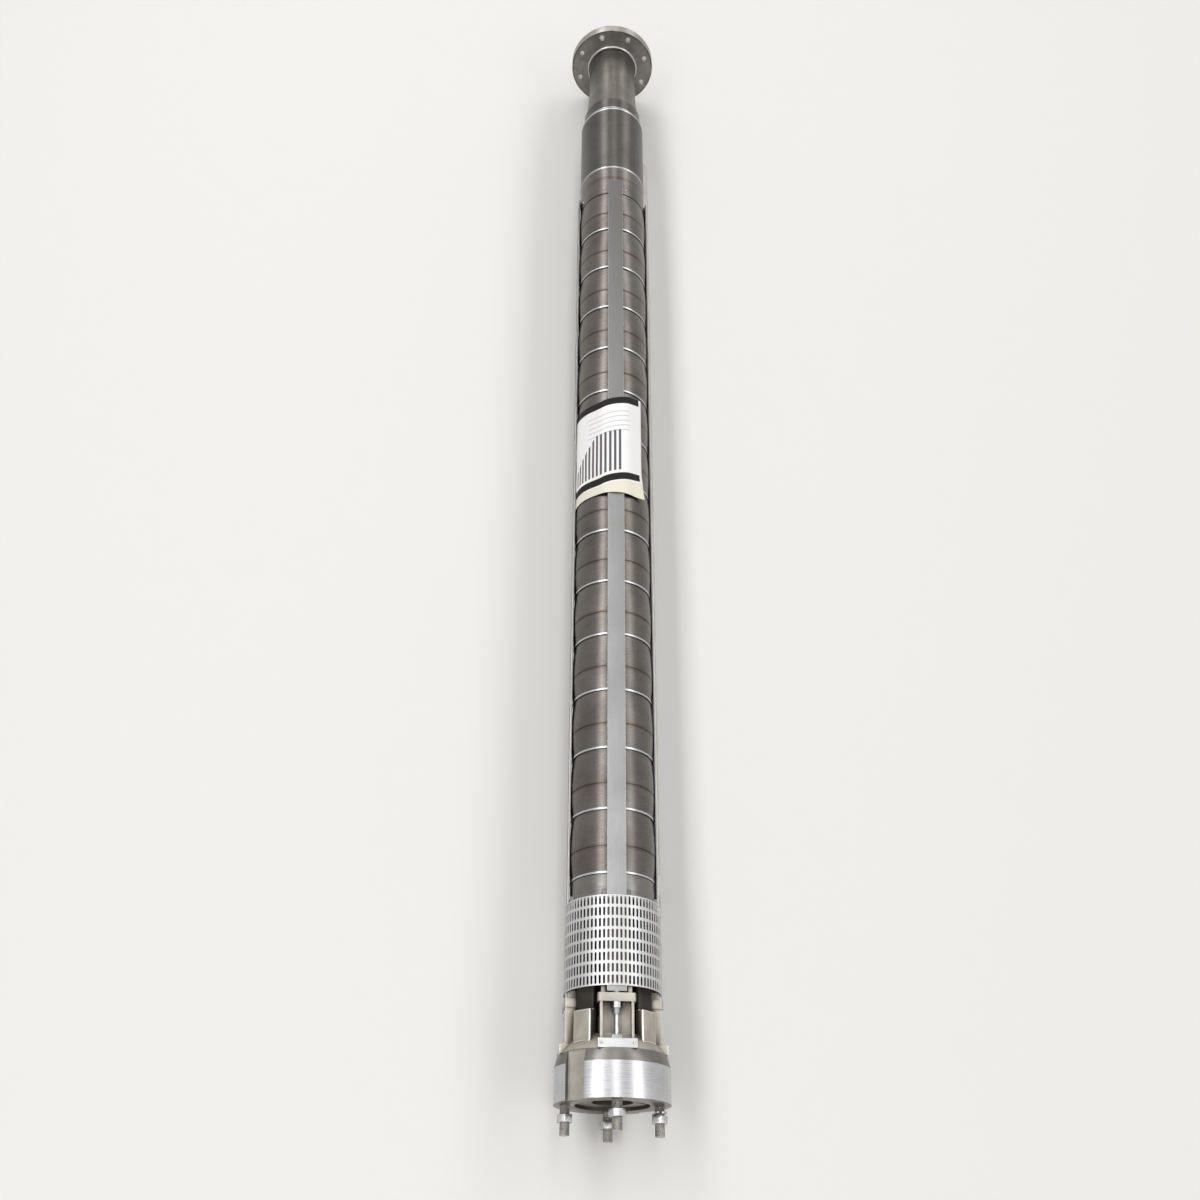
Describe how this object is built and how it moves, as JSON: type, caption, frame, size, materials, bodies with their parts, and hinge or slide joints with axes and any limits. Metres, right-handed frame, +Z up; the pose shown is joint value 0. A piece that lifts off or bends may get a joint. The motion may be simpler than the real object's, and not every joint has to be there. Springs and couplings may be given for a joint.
{
  "type": "borehole submersible pump",
  "caption": "Long multistage borehole pump end: strapped chambers, perforated suction strainer, non-return valve casing and bolted discharge flange.",
  "frame": {"origin": "on the pump axis at the motor flange face", "axes": "+Y along the pump axis towards the discharge flange, +Z up with the pump lying on its side"},
  "size_m": [0.25, 3.211, 0.25],
  "materials": {
    "cast_steel": "blasted",
    "chamber_steel": "satin",
    "strap_steel": "brushed",
    "strainer_sheet": "satin",
    "guard_sheet": "satin",
    "bolt_steel": "bright",
    "valve_steel": "satin",
    "pipe_steel": "blasted",
    "inner_steel": "machined",
    "bearing_rubber": "matte"
  },
  "bodies": {
    "casing": {"motor_flange": "cast_steel", "strap_pockets": "cast_steel", "cage_posts": "cast_steel", "cage_crown": "cast_steel", "strainer": "strainer_sheet", "strap_top": "strap_steel", "strap_right": "strap_steel", "strap_bottom": "strap_steel", "strap_left": "strap_steel", "strap_nuts": "bolt_steel", "stud_cover_plates": "guard_sheet", "motor_studs": "bolt_steel", "motor_nuts": "bolt_steel", "pump_chambers": "chamber_steel", "bearing_bushes": "bearing_rubber", "discharge_chamber": "chamber_steel", "valve_casing": "valve_steel", "valve_seat": "inner_steel", "valve_guide": "inner_steel", "valve_spring": "inner_steel", "discharge_reducer": "pipe_steel", "discharge_flange": "pipe_steel", "cable_guard_lower": "guard_sheet", "cable_guard_upper": "guard_sheet"},
    "rotor": {"pump_shaft": "inner_steel", "coupling": "inner_steel", "impellers": "inner_steel", "shaft_nut": "bolt_steel"},
    "valve": {"valve_disc": "inner_steel"}
  },
  "joints": [
    {"name": "rotor_spin", "type": "hinge", "parent": "casing", "child": "rotor", "pos_m": [0, 0, 0], "axis": [0, 1, 0], "continuous": true},
    {"name": "valve_lift", "type": "slide", "parent": "casing", "child": "valve", "axis": [0, 1, 0], "range_m": [0, 0.03], "stiffness_N_per_m": 600, "springref_m": -0.02, "deforming": ["valve_spring"]}
  ]
}
